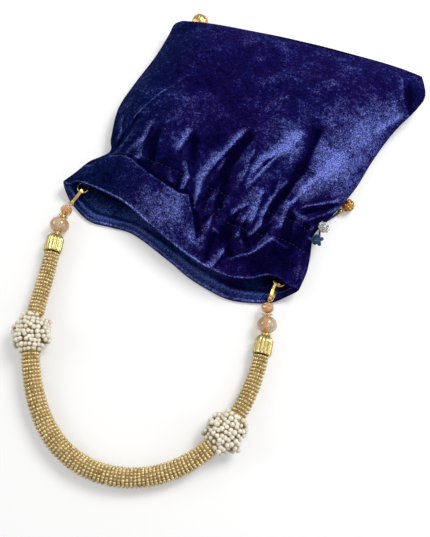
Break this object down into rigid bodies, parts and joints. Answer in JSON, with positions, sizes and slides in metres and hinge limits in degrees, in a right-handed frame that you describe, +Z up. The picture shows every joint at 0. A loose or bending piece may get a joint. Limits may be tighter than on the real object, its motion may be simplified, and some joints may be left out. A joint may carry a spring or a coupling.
{
  "type": "potli bag",
  "caption": "Velvet drawstring pouch lying flat, with a gathered neck and a beaded handle clipped to two rings by lobster clasps.",
  "frame": {"origin": "on the flat underside, near the middle of the gathered neck", "axes": "+X across the bag to the side with the charm, +Y from the mouth to the base, +Z up off the table"},
  "size_m": [0.2261, 0.3526, 0.0306],
  "materials": {
    "velvet": "crushed navy velvet",
    "lining_cloth": "matte navy lining",
    "cord": "twisted blue cord",
    "gold": "polished gold plate",
    "silver": "silver setting with clear stones",
    "glass": "faceted peach glass",
    "beadwork": "rows of pale gold seed beads",
    "pearl": "pearly cream",
    "padding": "matte padded cord"
  },
  "bodies": {
    "bag": {"velvet_shell": "velvet", "lining": "lining_cloth", "left_drawstring": "cord", "right_drawstring": "cord", "left_cord_knot": "cord", "right_cord_knot": "cord", "left_tail": "cord", "right_tail": "cord", "crystal_charm": "silver", "spacer_bead": "gold", "filigree_bead": "gold", "gold_ball": "gold", "left_bag_ring": "gold", "left_ring_tab": "velvet", "right_bag_ring": "gold", "right_ring_tab": "velvet"},
    "handle": {"handle_core": "padding", "beaded_sleeve": "beadwork", "left_pearl_cluster": "pearl", "right_pearl_cluster": "pearl", "left_clasp_body": "gold", "left_trigger_pin": "gold", "left_beading_wire": "gold", "left_small_bead": "glass", "left_upper_rondelle": "gold", "left_big_bead": "glass", "left_lower_rondelle": "gold", "left_end_cap": "gold", "right_clasp_body": "gold", "right_trigger_pin": "gold", "right_beading_wire": "gold", "right_small_bead": "glass", "right_upper_rondelle": "gold", "right_big_bead": "glass", "right_lower_rondelle": "gold", "right_end_cap": "gold"},
    "left_trigger": {"left_clasp_trigger": "gold"},
    "right_trigger": {"right_clasp_trigger": "gold"}
  },
  "joints": [
    {"name": "handle_swing", "type": "hinge", "parent": "bag", "child": "handle", "pos_m": [-0.0896, -0.0383, 0.0097], "axis": [-0.993, 0.1178, 0], "range_deg": [0, 80]},
    {"name": "left_clasp_open", "type": "hinge", "parent": "handle", "child": "left_trigger", "pos_m": [-0.09145, -0.04341, 0.00832], "axis": [0.8796, -0.202, -0.4307], "range_deg": [0, 15], "stiffness_Nm_per_rad": 0.01},
    {"name": "right_clasp_open", "type": "hinge", "parent": "handle", "child": "right_trigger", "pos_m": [0.06375, -0.06194, 0.00832], "axis": [0.8987, -0.1162, 0.423], "range_deg": [0, 15], "stiffness_Nm_per_rad": 0.01}
  ]
}
